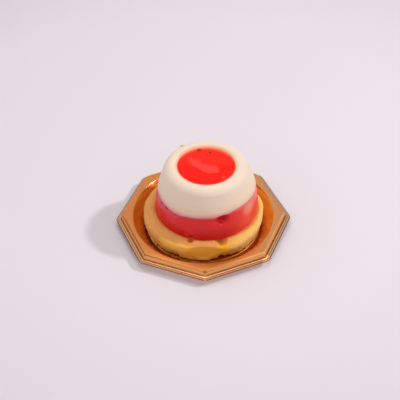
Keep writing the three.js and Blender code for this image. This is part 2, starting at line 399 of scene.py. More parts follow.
set_down()
for (x, y), depth, width in DENTS:
    dent(tray, Vector((x, y, BRIM)) * MM, Vector(depth) * MM, width * MM)
for corner in tray.data.vertices:
    place = corner.co / MM
    sway = noise.noise(Vector((place.x, place.y, 0)) / 14)
    lift = BACK_LIFT * ramp(place.y, 0, CREST_CORNER)
    corner.co.z += MM * (lift + 0.07 * sway) * ramp(reach(place), WELL_FOOT, WELL_EDGE)
smooth(tray, 35)
print("tray", len(tray.data.polygons), "faces")

# %% [markdown]
# ## The sponge
#
# A disc cut from a sheet of sponge: the cutter leaves a rounded top ring and a side that
# bulges where the cake presses on it, and the foot tears as it is lifted. A knife has taken a
# flat slice off the front. The outline is spun, then the uneven parts are worked in: a long
# slow wave, the flat face, the torn foot, a hole and a notch beside the jelly, and last the
# crumb, as layers of fine relief.

# %% Outline of the sponge
CAKE_X = 1.68
SPONGE_X = -0.5
SPONGE_TOP = 13.1
SPONGE_SIDE = 30.6
SPONGE_FOOT = 28.6
SPONGE_FACE = 29.55
SPONGE_STEPS = 440

sponge_side = [
    (SPONGE_FOOT - 1.6, FLOOR + 0.05),
    (SPONGE_FOOT - 0.7, FLOOR + 0.4),
    (SPONGE_FOOT, FLOOR + 1.3),
    (SPONGE_FOOT + 0.9, FLOOR + 3.2),
    (SPONGE_SIDE - 0.4, FLOOR + 5.9),
    (SPONGE_SIDE, FLOOR + 8.3),
    (SPONGE_SIDE - 0.5, FLOOR + 10.2),
    (SPONGE_SIDE - 1.9, SPONGE_TOP - 0.9),
    (SPONGE_SIDE - 4.2, SPONGE_TOP - 0.1),
    (24.5, SPONGE_TOP),
]
sponge_outline = [(0, FLOOR)] + [(radius, FLOOR) for radius in (12, 22, 26)]
sponge_outline += through(sponge_side, 6) + [(22, SPONGE_TOP), (12, SPONGE_TOP), (0, SPONGE_TOP)]
sponge = spin("sponge_cake", sponge_outline, SPONGE_STEPS)
print("points in the outline of the sponge", len(sponge_outline))

# %% Uneven side, torn foot and dents
FOOT_HUMPS = [(10, 30, 0.6), (-45, 14, 0.5), (-70, 8, -1.6), (-91, 7, 0.25), (-121, 9, -0.9)]
HOLE = (-103.8, 26.0, 2.8, 1.4, 2.6)
NOTCH = (-71.5, 27.2, 5.2, 1.8, 2.2)


def pressed(angle, radius, angle_at, radius_at, half_angle, half_width, depth):
    """How deep a hollow in the top of the sponge is at one place."""
    return depth * patch((angle - angle_at) / half_angle, (radius - radius_at) / half_width)


def work_sponge(place):
    """Where one point of the even sponge goes."""
    angle = azimuth(place)
    radius = reach(place)
    height = place.z
    low = 1 - ramp(height, FLOOR + 2.5, FLOOR + 7.5)
    side = ramp(radius, SPONGE_FOOT - 4, SPONGE_FOOT - 0.5)
    high = ramp(height, FLOOR + 6, SPONGE_TOP - 0.5)
    foot = sum(rise * hump_at(angle, middle, width) for middle, width, rise in FOOT_HUMPS)
    turn = math.radians(angle)
    tears = 0.24 * math.sin(24 * turn + 1) * math.sin(7 * turn) + 0.2 * math.sin(41 * turn)
    waves = 0.16 * math.sin(5 * turn + 0.8) + 0.1 * math.sin(11 * turn)
    oval = 0.4 * math.cos(turn) - 0.4 * math.sin(turn) - 0.8 * hump_at(angle, 150, 25)
    grown = radius + side * (low * (foot + tears) + (1 - low) * (waves + oval))
    face = SPONGE_FACE / max(0.1, -math.sin(turn))
    hollows = pressed(angle, radius, *HOLE) + pressed(angle, radius, *NOTCH)
    lip = 0.35 * hump_at(angle, -78.3, 1.7) * hump(radius, 27.6, 1.8)
    rolling = 0.15 * math.sin(3 * turn) + 0.12 * math.sin(8 * turn + 2)
    lifted = height + high * (lip - hollows + ramp(radius, 26.1, 28.1) * rolling)
    return outward(angle) * min(grown, face) + Vector((0, 0, lifted))


for corner in sponge.data.vertices:
    if reach(corner.co / MM) > 20:
        corner.co = work_sponge(corner.co / MM) * MM


# %% [markdown]
# Crumb shows at two sizes: soft lumps a few millimetres wide, and pores well under one. Both
# come from a Displace modifier with a procedural texture, weighted by a vertex group so that
# the hidden faces stay flat and the sliced face smoother; a third makes the torn foot the
# roughest. Real relief is used rather than bump alone, because it shows in the outline.


# %% Crumb relief
def weigh(piece, name, rule):
    """Makes a vertex group whose weights follow a rule of the place in millimetres."""
    group = piece.vertex_groups.new(name=name)
    for corner in piece.data.vertices:
        group.add([corner.index], rule(corner.co / MM), "REPLACE")


def displace(piece, name, kind, grain, depth, group):
    """Moves the skin along its normals by a procedural texture, and applies it."""
    texture = bpy.data.textures.new(name, kind)
    texture.noise_scale = grain * MM
    modifier = piece.modifiers.new(name, "DISPLACE")
    modifier.texture = texture
    modifier.texture_coords = "LOCAL"
    modifier.strength = depth * MM
    modifier.mid_level = 0.5
    modifier.vertex_group = group
    set_down()
    piece.select_set(True)
    bpy.context.view_layer.objects.active = piece
    bpy.ops.object.modifier_apply(modifier=name)


def open_skin(place):
    """1 where the sponge is bare, 0 under the cake and on the tray, less on the flat face."""
    bare = ramp(reach(place), 24.5, 26.5) * ramp(place.z, FLOOR + 0.05, FLOOR + 0.6)
    return bare * (1 - 0.6 * hump_at(azimuth(place), -91, 14) * ramp(-place.y, 28, 29))


def torn_foot(place):
    """1 low on the side, 0 above."""
    low = ramp(place.z, FLOOR + 0.05, FLOOR + 0.5) * (1 - ramp(place.z, 2.4, 4.5))
    return low * ramp(reach(place), 24.5, 26.5)


weigh(sponge, "skin", open_skin)
weigh(sponge, "foot", torn_foot)
displace(sponge, "soft_lumps", "CLOUDS", 3.2, 0.55, "skin")
displace(sponge, "pores", "STUCCI", 0.8, 0.22, "skin")
displace(sponge, "torn_crumb", "CLOUDS", 1.1, 1.0, "foot")
carry(sponge, SPONGE_X)

# %% [markdown]
# ## Jelly and cream
#
# Both layers were set in the same cup, so they share one smooth side, and the join between
# them leans and waves a little: it is higher at the right. Each layer is spun with a level
# join, and a rule then lifts its points by the lean, less and less away from the join, so the
# two skins meet exactly. A pit for a piece of fruit goes through both the same way.

# %% Sizes of the layers
JELLY_FOOT = 25.95
JOIN_SIDE = 24.57
JOIN = 26.24
CREST = 39.72
RING = 17.0
SHOULDER = 4.5
DISH = 14.5
DISH_FLOOR = 37.4
SAUCE_X = CAKE_X - 0.2
SAUCE = 14.45
SAUCE_TOP = 38.98
LAYER_STEPS = 320
PIT_ANGLE = -73
PIT_HEIGHT = 23.3
PIT_DEPTH = 2.1
PIT_SIZE = (7.4, 2.6)
JOIN_LEAN = 0.9
JOIN_CURVE = 0.4
JOIN_WAVES = [(-130, 20, -1.0), (-50, 18, 1.2), (-15, 30, 0.6)]


def join_lift(place):
    """How far the join stands above its height at the front: a lean and three waves."""
    across = place.x / JOIN_SIDE
    waves = sum(rise * hump_at(azimuth(place), angle, width) for angle, width, rise in JOIN_WAVES)
    lean = JOIN_LEAN * across + JOIN_CURVE * across * across
    return lean + waves * ramp(reach(place), 12, JOIN_SIDE)


def pit(place):
    """Depth of the pit in the side of the jelly, round the piece of fruit."""
    around = (azimuth(place) - PIT_ANGLE) / PIT_SIZE[0]
    return PIT_DEPTH * patch(around, (place.z - PIT_HEIGHT) / PIT_SIZE[1])


# %% The jelly layer
jelly_side = [
    (JELLY_FOOT - 0.35, SPONGE_TOP - 0.05),
    (JELLY_FOOT, SPONGE_TOP + 0.6),
    (JELLY_FOOT - 0.2, SPONGE_TOP + 4.4),
    (JELLY_FOOT - 0.6, SPONGE_TOP + 8.1),
    (JOIN_SIDE + 0.32, JOIN - 2.6),
    (JOIN_SIDE, JOIN),
]
jelly_outline = [(radius, jelly_side[0][1]) for radius in (0, 12, 22)]
jelly_outline += through(jelly_side, 8) + [(22, JOIN), (12, JOIN), (0, JOIN)]
jelly = spin("strawberry_jelly", jelly_outline, LAYER_STEPS)
for corner in jelly.data.vertices:
    place = corner.co / MM
    angle = azimuth(place)
    share = max(0, (place.z - SPONGE_TOP) / (JOIN - SPONGE_TOP))
    outer = ramp(reach(place), JOIN_SIDE - 3, JOIN_SIDE)
    wave = 0.12 * math.sin(4 * math.radians(angle) + 1)
    slump = (wave + 0.2 * hump_at(angle, -90, 40)) * (1 - share)
    lip = 0.22 * hump_at(angle, PIT_ANGLE, 5.5) * hump(place.z, PIT_HEIGHT - 2.9, 0.6)
    bite = 0.9 * patch((angle + 108.4) / 2.8, (place.z - SPONGE_TOP) / 1.6)
    swell = outer * (slump + lip - bite - pit(place) + 0.05 * noise.noise(place / 5))
    lift = Vector((0, 0, join_lift(place) * share))
    corner.co = (place + outward(angle) * swell + lift) * MM
carry(jelly, CAKE_X)

# %% The cream layer
SHOULDER_START = 15.5
shoulder = arc((RING, CREST - SHOULDER), SHOULDER, SHOULDER_START, 90, 14)
cream_side = through([
    (JOIN_SIDE, JOIN),
    (JOIN_SIDE - 1.2, JOIN + 4),
    (JOIN_SIDE - 2.25, JOIN + 7.2),
    shoulder[0],
], 7)
dish_side = through([
    (RING, CREST),
    (RING - 1.1, CREST - 0.13),
    (DISH + 0.5, SAUCE_TOP + 0.22),
    (DISH - 0.2, SAUCE_TOP - 0.14),
    (DISH - 0.7, SAUCE_TOP - 0.9),
    (DISH - 1.6, DISH_FLOOR),
], 4)
cream_outline = [(0, JOIN), (12, JOIN), (22, JOIN)] + cream_side + shoulder[1:]
cream_outline += dish_side[1:] + [(7, DISH_FLOOR), (0, DISH_FLOOR)]
cream = spin("cheese_cream", cream_outline, LAYER_STEPS)
for corner in cream.data.vertices:
    place = corner.co / MM
    angle = azimuth(place)
    share = 1 - ramp(place.z, JOIN, CREST - 6)
    dip = pit(place) * ramp(reach(place), JOIN_SIDE - 3, JOIN_SIDE)
    sway = 0.08 * math.sin(2 * math.radians(angle) + 0.6) * ramp(place.z, SAUCE_TOP, CREST)
    uneven = 0.07 * noise.noise(place / 7) * ramp(reach(place), 14.8, 16)
    upper = ramp(place.z, JOIN + 4, CREST - 3) * ramp(reach(place), DISH + 0.3, RING)
    sunk = 0.45 * hump_at(angle, 0, 50) * upper
    lift = Vector((0, 0, join_lift(place) * share + sway))
    corner.co = (place + outward(angle) * (uneven - sunk - dip) + lift) * MM
carry(cream, CAKE_X)

# %% [markdown]
# ## The sauce
#
# The sauce was spooned into the dish and settled, so it is level, rounded at its edge and
# crossed by one low fold where the spoon left it. It is spun like the layers, with rings close
# enough to hold the fold. The fold is a line across the pool with a width that changes.

# %% The pool of sauce
FOLD_LINE = [
    (-9.5, 8.2), (-8, 6.6), (-6, 4), (-3.5, 2.1), (-1.3, 0.5), (0, -1.4),
    (1.9, -2.3), (4.8, -2.6), (6.4, -2.6), (8.1, -3.7), (9.5, -4.6),
]
FOLD_WIDTH = [
    (-9.5, 0.3), (-8, 1.2), (-6, 2.1), (-3.5, 3.1), (-1.3, 3.4), (0, 2.9),
    (1.9, 3.3), (4.8, 3.1), (6.4, 2.8), (8.1, 1.4), (9.5, 0.3),
]
sauce_outline = [(0, DISH_FLOOR), (8, DISH_FLOOR), (SAUCE - 1.2, DISH_FLOOR)]
sauce_outline += through([
    (SAUCE - 0.5, DISH_FLOOR + 0.7),
    (SAUCE + 0.25, SAUCE_TOP - 0.3),
    (SAUCE + 0.2, SAUCE_TOP - 0.08),
    (SAUCE - 0.9, SAUCE_TOP),
], 4)
sauce_outline += [(SAUCE - 0.9 - 0.45 * step, SAUCE_TOP) for step in range(1, 30)]
sauce_outline += [(0, SAUCE_TOP)]
sauce = spin("sauce_pool", sauce_outline, LAYER_STEPS)


# %% The fold in the sauce
def curve_at(points, value):
    """Height of a polyline of (along, across) points."""
    for (start, low), (stop, high) in zip(points, points[1:]):
        if value <= stop:
            return low + (high - low) * ramp(value, start, stop)
    return points[-1][1]


def fold_height(place):
    """Height of the spoon's fold over the level sauce."""
    x = place.x + SAUCE_X
    off = (place.y - curve_at(FOLD_LINE, x)) / curve_at(FOLD_WIDTH, x)
    ends = ramp(x, -10, -4) * (1 - ramp(x, 7, 9.5))
    return ends * (0.2 * math.exp(-off ** 4) - 0.1 * hump(off, -1.5, 0.6))


for corner in sauce.data.vertices:
    place = corner.co / MM
    oval = 0.2 * math.cos(2 * math.radians(azimuth(place))) * ramp(reach(place), 0, SAUCE)
    level = ramp(place.z, SAUCE_TOP - 0.3, SAUCE_TOP)
    inner = 1 - ramp(reach(place), SAUCE - 3, SAUCE - 0.6)
    stretch = 1 + oval / max(reach(place), 1)
    rise = level * inner * fold_height(place) + level * 0.03 * noise.noise(place / 2.5)
    corner.co = Vector((place.x * stretch, place.y * stretch, place.z + rise)) * MM
carry(sauce, SAUCE_X)

# %% [markdown]
# ## Seeds, fruit and crumbs
#
# A few strawberry seeds float in the sauce and show through the jelly, and a piece of fruit
# fills the pit in its side. All are balls, pushed about by noise so that none is quite round:
# a seed is drawn out to a point, the fruit is four soft lumps grown together, and crumbs are
# lumps knocked off the torn foot, scattered by a seeded random draw.


# %% Helpers for small things
def lump(name, size, roundness, seed):
    """A small uneven ball: an icosphere whose corners are pushed about by noise."""
    set_down()
    bpy.ops.mesh.primitive_ico_sphere_add(subdivisions=roundness, radius=1)
    piece = bpy.context.object
    piece.name = name
    shift = Vector((seed * 3.1, seed * 1.7, seed * 2.3))
    for corner in piece.data.vertices:
        push = 1 + 0.35 * noise.noise(corner.co * 1.4 + shift)
        stretched = [value * side for value, side in zip(corner.co, size)]
        corner.co = Vector(stretched) * push * MM
    return piece


def gather(name, parts):
    """Joins small parts into one piece with its place in its mesh."""
    set_down()
    for part in parts:
        part.select_set(True)
    bpy.context.view_layer.objects.active = parts[0]
    if len(parts) > 1:
        bpy.ops.object.join()
    bpy.ops.object.transform_apply(location=True, rotation=True, scale=True)
    piece = bpy.context.object
    piece.name = name
    set_down()
    return piece


def seed_at(place, heading, lean, length):
    """One strawberry seed: a drop shape, half as wide as long."""
    seed = lump("seed", (0.5 * length, 0.25 * length, 0.2 * length), 2, length)
    for corner in seed.data.vertices:
        share = corner.co.x / (0.5 * length * MM)
        corner.co.y *= 1 - 0.55 * max(0, share)
        corner.co.z *= 1 - 0.55 * max(0, share)
    seed.location = place * MM
    seed.rotation_euler = Euler((0, math.radians(lean), math.radians(heading)))
    return seed


def side_reach(height):
    """Radius of the cake's side at a height, from the outlines of both layers."""
    outline = jelly_side + cream_side
    for (low_reach, low), (high_reach, high) in zip(outline, outline[1:]):
        if low <= height <= high and high > low:
            return low_reach + (high_reach - low_reach) * (height - low) / (high - low)
    return JOIN_SIDE


def on_side(angle, height, depth):
    """A place on the cake's side, sunk in by the depth."""
    return Vector((CAKE_X, 0, height)) + outward(angle) * (side_reach(height) - depth)


# %% Seeds in the sauce and the jelly
sauce_seed_places = [(-1.4, 12.3, 8), (3.9, 10.1, -6), (2.4, 8.0, 12)]
sauce_seeds = gather("sauce_seeds", [
    seed_at(Vector((x, y, SAUCE_TOP + 0.01)), heading, 4, 2.5 - 0.8 * order)
    for order, (x, y, heading) in enumerate(sauce_seed_places)
])
jelly_seed_places = [(-154.9, 24.3), (-144.6, 25.0), (-142.4, 24.7), (-121.9, 15.8)]
jelly_seeds = gather("jelly_seeds", [
    seed_at(on_side(angle, height, 0.12), angle + 90, 35, 1.25)
    for angle, height in jelly_seed_places
])
print("seeds", len(sauce_seed_places) + len(jelly_seed_places))

# %% The piece of fruit in the pit
fruit_places = [(-78.5, 0.2, 1.5), (-73, -0.7, 1.7), (-68, 0.3, 1.4), (-74, 1.2, 1.3)]
FRUIT_DEPTH = 2.2
bits = []
for order, (angle, rise, size) in enumerate(fruit_places):
    bit = lump("fruit_bit", (size, 0.8 * size, 0.75 * size), 3, 5 + order)
    bit.location = on_side(angle, PIT_HEIGHT + rise, FRUIT_DEPTH) * MM
    bit.rotation_euler = Euler((0, math.radians(25 * order), math.radians(17)))
    bits.append(bit)
fruit = gather("fruit_bit", bits)
smooth(fruit, 60)

# %% Crumbs
draw = random.Random(7)
crumbs = []
for order in range(7):
    angle = draw.uniform(-128, -92)
    radius = draw.uniform(28.9, 29.4)
    size = draw.uniform(0.2, 0.4)
    crumb = lump("crumb", (size, size * draw.uniform(0.6, 0.9), size * 0.7), 2, order)
    height = FLOOR + max(0, radius - WELL_FOOT) + 0.5 * size
    crumb.location = (Vector((SPONGE_X, 0, height)) + outward(angle) * radius) * MM
    crumb.rotation_euler = Euler((0, 0, draw.uniform(0, math.tau)))
    crumbs.append(crumb)
loose_crumbs = gather("loose_crumbs", crumbs)

# %% [markdown]
# At the back left of the rim a tiny bubble has burst and left a dome of pale skin with a
# dimple. It is a small ball whose top is pushed in, laid on the shoulder.

# %% The burst bubble on the rim
BUBBLE_ANGLE = 126
BUBBLE_REACH = 19.8
bubble_place = Vector((CAKE_X, 0, CREST - 0.9)) + outward(BUBBLE_ANGLE) * BUBBLE_REACH
bubble = lump("rim_bubble", (1.25, 1.05, 0.75), 4, 3)
for corner in bubble.data.vertices:
    place = corner.co / MM
    corner.co.z -= 0.5 * MM * hump(reach(place), 0, 0.45) * ramp(place.z, 0, 0.4)
bubble.location = bubble_place * MM
bubble.rotation_euler = Euler((0, math.radians(20), math.radians(BUBBLE_ANGLE)))
bubble = gather("rim_bubble", [bubble])
smooth(bubble, 60)

# %% [markdown]
# ## Finishes
#
# Every finish is procedural and reads Object coordinates, so it stays put on the piece in any
# view. A Mapping node turns metres into millimetres, so the scale of each pattern can be read
# as a real size. Colour is laid on in coats: each tint covers the last where its mask says so.
# Painted image maps could do the same, but they would not scale with the piece.


# %% Helpers for nodes
def add(tree, kind, inputs=None, **settings):
    """Adds a node, sets its properties and the values of its named inputs."""
    node = tree.nodes.new(kind)
    for name, value in settings.items():
        setattr(node, name, value)
    for name, value in (inputs or {}).items():
        node.inputs[name].default_value = value
    return node


def math_node(tree, operation, first, second=None, third=None):
    """A Math node fed by sockets or plain numbers."""
    node = add(tree, "ShaderNodeMath", operation=operation)
    for slot, source in enumerate((first, second, third)):
        if source is None:
            continue
        if isinstance(source, (int, float)):
            node.inputs[slot].default_value = source
        else:
            tree.links.new(source, node.inputs[slot])
    return node.outputs[0]


def times(tree, first, second):
    """A product, which for two masks means where both hold."""
    return math_node(tree, "MULTIPLY", first, second)


def more(tree, mask, factor, base):
    """The base plus a factor times the mask."""
    return math_node(tree, "MULTIPLY_ADD", mask, factor, base)


def away_from(tree, source, middle):
    """How far a value is from a middle one, either way."""
    return math_node(tree, "ABSOLUTE", math_node(tree, "SUBTRACT", source, middle))


def fade(tree, source, low, high):
    """0 where the source is at low, 1 where it is at high, smooth between."""
    node = add(tree, "ShaderNodeMapRange", interpolation_type="SMOOTHSTEP")
    tree.links.new(source, node.inputs["Value"])
    node.inputs["From Min"].default_value = low
    node.inputs["From Max"].default_value = high
    return node.outputs["Result"]


def line_at(tree, source, middle, half):
    """1 close to a middle value, 0 beyond half a width from it."""
    return fade(tree, away_from(tree, source, middle), half, 0.5 * half)


def tint(tree, mask, base, over):
    """Mixes two colours, or colour sockets, by a mask."""
    node = add(tree, "ShaderNodeMix", data_type="RGBA")
    tree.links.new(mask, node.inputs[0])
    for slot, source in ((6, base), (7, over)):
        if isinstance(source, tuple):
            node.inputs[slot].default_value = (*source, 1)
        else:
            tree.links.new(source, node.inputs[slot])
    return node.outputs[2]


# %% Helpers for places
def millimetres(tree):
    """Object coordinates in millimetres."""
    coordinates = add(tree, "ShaderNodeTexCoord")
    mapping = add(tree, "ShaderNodeMapping", {"Scale": (1000, 1000, 1000)})
    tree.links.new(coordinates.outputs["Object"], mapping.inputs["Vector"])
    return mapping.outputs["Vector"]


def axes(tree, vector):
    """The x, y and z of a vector."""
    split = add(tree, "ShaderNodeSeparateXYZ")
    tree.links.new(vector, split.inputs[0])
    return split.outputs["X"], split.outputs["Y"], split.outputs["Z"]


def distance_to(tree, vector, place):
    """How far the surface is from a place."""
    node = add(tree, "ShaderNodeVectorMath", operation="DISTANCE")
    tree.links.new(vector, node.inputs[0])
    node.inputs[1].default_value = place
    return node.outputs["Value"]


def reach_from(tree, vector, middle):
    """How far the surface is from the upright axis at x = middle."""
    level = add(tree, "ShaderNodeMapping", {"Location": (-middle, 0, 0), "Scale": (1, 1, 0)})
    tree.links.new(vector, level.inputs["Vector"])
    node = add(tree, "ShaderNodeVectorMath", operation="LENGTH")
    tree.links.new(level.outputs["Vector"], node.inputs[0])
    return node.outputs["Value"]


def eight_sided(tree, x, y):
    """Centre-to-corner size of the octagon through a point."""
    x = math_node(tree, "ABSOLUTE", x)
    y = math_node(tree, "ABSOLUTE", y)
    slope = math.tan(math.radians(22.5))
    facets = [more(tree, second, slope, first) for first, second in ((x, y), (y, x))]
    return math_node(tree, "MAXIMUM", *facets)


def noise_at(tree, vector, size, detail):
    """A noise whose features are about that many millimetres wide."""
    node = add(tree, "ShaderNodeTexNoise", {"Scale": 1 / size, "Detail": detail, "Roughness": 0.55})
    tree.links.new(vector, node.inputs["Vector"])
    return node.outputs["Fac"]


def spots(tree, vector, colour, places, wobble=None):
    """Tints round spots of (place, size, colour), their edges pushed about by a mask."""
    for place, size, dark in places:
        edge = distance_to(tree, vector, place)
        if wobble is not None:
            edge = more(tree, wobble, 0.8, edge)
        colour = tint(tree, fade(tree, edge, size + 0.5, size - 0.4), colour, dark)
    return colour


# %% Helpers for finishes
def new_finish(name):
    """A material's node tree, its shader and its place vector, and the material itself."""
    material = bpy.data.materials.new(name)
    material.use_nodes = True
    tree = material.node_tree
    return material, tree, tree.nodes["Principled BSDF"], millimetres(tree)


def settle(tree, shader, colour, values):
    """Links the colour to the shader and sets its constant inputs."""
    tree.links.new(colour, shader.inputs["Base Color"])
    for name, value in values.items():
        shader.inputs[name].default_value = value


def bump(tree, shader, height, strength, distance):
    """Feeds a height to the shader's normal; distance is in millimetres."""
    node = add(tree, "ShaderNodeBump", {"Strength": strength, "Distance": distance * MM})
    tree.links.new(height, node.inputs["Height"])
    tree.links.new(node.outputs["Normal"], shader.inputs["Normal"])


def dress(piece, material, slot, *nodes):
    """Gives a piece its finish and makes it part of the model."""
    piece.data.materials.clear()
    piece.data.materials.append(material)
    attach(piece, "root")
    if nodes:
        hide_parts(*nodes)


# %% [markdown]
# ### Shared groups
#
# Two effects are used by more than one finish, so each is a node group, built once: a soft
# mottle of two noises, and the height over the leaning join, which jelly and cream both need.


# %% Helpers for groups
def new_group(name, inputs, outputs):
    """An empty shader node group with named sockets: (name, kind, value) in, (name, kind) out."""
    tree = bpy.data.node_groups.new(name, "ShaderNodeTree")
    for socket_name, kind, value in inputs:
        socket = tree.interface.new_socket(name=socket_name, in_out="INPUT", socket_type=kind)
        if value is not None:
            socket.default_value = value
    for socket_name, kind in outputs:
        tree.interface.new_socket(name=socket_name, in_out="OUTPUT", socket_type=kind)
    return tree, tree.nodes.new("NodeGroupInput"), tree.nodes.new("NodeGroupOutput")


def use_group(tree, group, vector, inputs=None):
    """Places a shared group in a material and feeds it the coordinates."""
    node = add(tree, "ShaderNodeGroup", inputs, node_tree=group)
    tree.links.new(vector, node.inputs["Vector"])
    return node


def mottled(tree, vector, size, contrast):
    """The mottle as a mask, its patches about that many millimetres wide."""
    return use_group(tree, mottle, vector, {"Size": size, "Contrast": contrast}).outputs["Mask"]


# %% Shared group: mottle
mottle, group_in, group_out = new_group(
    "mottle",
    [("Vector", "NodeSocketVector", None), ("Size", "NodeSocketFloat", 4.0),
     ("Contrast", "NodeSocketFloat", 1.0)],
    [("Mask", "NodeSocketFloat")],
)
scale = math_node(mottle, "DIVIDE", 1.0, group_in.outputs["Size"])
layers = []
for detail, factor in ((2, 1.0), (5, 3.7)):
    layer = add(mottle, "ShaderNodeTexNoise", {"Detail": detail, "Roughness": 0.6})
    mottle.links.new(group_in.outputs["Vector"], layer.inputs["Vector"])
    mottle.links.new(times(mottle, scale, factor), layer.inputs["Scale"])
    layers.append(layer.outputs["Fac"])
both = more(mottle, layers[1], 0.45, times(mottle, layers[0], 0.55))
centred = math_node(mottle, "SUBTRACT", both, 0.5)
spread = more(mottle, centred, group_in.outputs["Contrast"], 0.5)
clamped = add(mottle, "ShaderNodeClamp")
mottle.links.new(spread, clamped.inputs["Value"])
mottle.links.new(clamped.outputs["Result"], group_out.inputs["Mask"])

# %% Shared group: height over the join
over_join, group_in, group_out = new_group(
    "over_join",
    [("Vector", "NodeSocketVector", None)],
    [("Above", "NodeSocketFloat"), ("Side", "NodeSocketFloat")],
)
x, y, z = axes(over_join, group_in.outputs["Vector"])
from_axis = math_node(over_join, "SUBTRACT", x, CAKE_X)
across = math_node(over_join, "DIVIDE", from_axis, JOIN_SIDE)
curve = times(over_join, times(over_join, across, across), JOIN_CURVE)
lean = more(over_join, across, JOIN_LEAN, curve)
turned = math_node(over_join, "ARCTAN2", y, from_axis)
for angle, width, rise in JOIN_WAVES:
    off = math_node(over_join, "SUBTRACT", turned, math.radians(angle))
    off = math_node(over_join, "DIVIDE", off, math.radians(width))
    bell = times(over_join, times(over_join, off, off), -1.0)
    lean = more(over_join, math_node(over_join, "EXPONENT", bell), rise, lean)
above = math_node(over_join, "SUBTRACT", math_node(over_join, "SUBTRACT", z, JOIN), lean)
over_join.links.new(above, group_out.inputs["Above"])
over_join.links.new(across, group_out.inputs["Side"])

# %% [markdown]
# ### Copper-gold sheet
#
# The tray is a thin sheet with a metal coat under lacquer. A pure mirror would look like solid
# metal, so the metal is given a satin roughness, broken up a little by handling. What such a
# sheet mirrors, and the shade that falls on it, make its colour run from deep copper to pale
# gold, and here that is painted: the brim, the wall of the well and each step of the pressed
# edge get a tint of painted light and shade of their own. The edge is eight-sided, so its
# tints follow the size of the octagon through a point, and the well's its radius.

# %% Colour of the tray
CREST_LINE = 41.5
# Painted light and shade on the pressed edge, listed as (size of the octagon, half width, colour),
# from the crest outward: a paler slope for its painted reflection, painted shade in the inner
# groove, a painted highlight on the bead, painted shade in the outer groove, a paler flange for the
# painted reflection of the table, and painted shade on the outer edge.
EDGE_LIGHT_AND_SHADE = [
    (42.0, 0.4, (0.86, 0.42, 0.14)),
    (42.45, 0.4, (0.58, 0.23, 0.06)),
    (43.0, 0.5, (1.0, 0.54, 0.27)),
    (43.6, 0.28, (0.55, 0.22, 0.06)),
    (44.2, 0.5, (0.80, 0.46, 0.27)),
    (45.0, 0.7, (0.26, 0.10, 0.04)),
]
# Painted shade in the dent at the front corner of the crest.
DENT_SHADE = [((0, -41.2, 6.8), 0.7, (0.34, 0.12, 0.03))]

gold, tree, shader, vector = new_finish("gold_sheet")
x, y, z = axes(tree, vector)
size = eight_sided(tree, x, y)
from_axis = reach_from(tree, vector, 0)
cloudy = mottled(tree, vector, 16, 1.6)

colour = tint(tree, cloudy, (1.0, 0.355, 0.085), (0.95, 0.30, 0.06))
# Painted light: the right of the brim, towards the lamp, is paler.
right = times(tree, fade(tree, x, -10, 22), fade(tree, y, -34, -18))
pale = tint(tree, cloudy, (0.95, 0.42, 0.155), (0.92, 0.385, 0.135))
colour = tint(tree, right, colour, pale)
# Painted reflection on the front of the brim: lighter at the left, darker at the right where it
# mirrors the cake.
front_brim_reflection = tint(tree, fade(tree, x, -14, 2), (1.0, 0.40, 0.115), (0.69, 0.27, 0.058))
colour = tint(tree, fade(tree, y, -26, -34), colour, front_brim_reflection)

well = fade(tree, from_axis, WELL_EDGE + 0.1, WELL_EDGE - 0.3)
# Painted shade on the wall of the well, darkest at the front.
wall_shade = tint(tree, fade(tree, y, -20, -30), (0.90, 0.38, 0.06), (0.56, 0.26, 0.04))
colour = tint(tree, well, colour, wall_shade)
# Painted light: a brighter band on the floor of the well at the left, for the light it mirrors.
floor_ring_light = times(tree, times(tree, fade(tree, from_axis, 29.2, 28.9), well), fade(tree, x, 2, -8))
colour = tint(tree, floor_ring_light, colour, (1.0, 0.55, 0.12))
# Painted shade: a dark line in the groove at the foot of the wall.
foot_line_shade = fade(tree, away_from(tree, from_axis, 29.3), 0.35, 0.15)
colour = tint(tree, foot_line_shade, colour, (0.34, 0.07, 0.008))

# Painted shade on the crest of the front half, dark at the left, turning to a painted highlight at
# the right where the lamp is.
crest_light_and_shade = tint(tree, fade(tree, x, -30, -14), (0.42, 0.15, 0.03), (0.74, 0.29, 0.08))
crest_light_and_shade = tint(tree, fade(tree, x, 8, 24), crest_light_and_shade, (1.0, 0.46, 0.16))
crest_light_mask = times(tree, line_at(tree, size, CREST_LINE, 0.5), fade(tree, y, 4, -4))
colour = tint(tree, crest_light_mask, colour, crest_light_and_shade)
# The painted light and shade of each step of the edge, then the painted shade in the dent.
for middle, half, over in EDGE_LIGHT_AND_SHADE:
    colour = tint(tree, line_at(tree, size, middle, half), colour, over)
colour = spots(tree, vector, colour, DENT_SHADE)

# %% [markdown]
# The gloss changes too. The wall of the well was never touched and shines; the crest, the
# front of the brim and the corner at the right of it are rubbed dull. A clear coat adds the
# thin pale glint of lacquer, except where it is rubbed off.

# %% Gloss of the tray
RUBBED_CORNER = (30.4, -30.4, 4.4)
satin = more(tree, mottled(tree, vector, 1.4, 1.3), 0.05, 0.23)
glossy = times(tree, well, fade(tree, from_axis, 29.4, 30.4))
satin = more(tree, glossy, -0.12, satin)
on_crest = fade(tree, away_from(tree, size, CREST_LINE), 0.6, 0.4)
satin = more(tree, on_crest, 0.12, satin)
worn = times(tree, fade(tree, y, -24, -32), fade(tree, size, 41.4, 40.6))
satin = more(tree, worn, 0.2, satin)
rubbed = fade(tree, distance_to(tree, vector, RUBBED_CORNER), 2.6, 1.6)
satin = more(tree, rubbed, 0.35, satin)
tree.links.new(satin, shader.inputs["Roughness"])
lacquer = more(tree, rubbed, -0.5, more(tree, on_crest, -0.4, 0.5))
tree.links.new(lacquer, shader.inputs["Coat Weight"])
settle(tree, shader, colour, {"Metallic": 0.95, "Coat Roughness": 0.18})
bump(tree, shader, noise_at(tree, vector, 6, 2), 0.4, 0.05)
dress(tray, gold, "gold_tray", "tray")

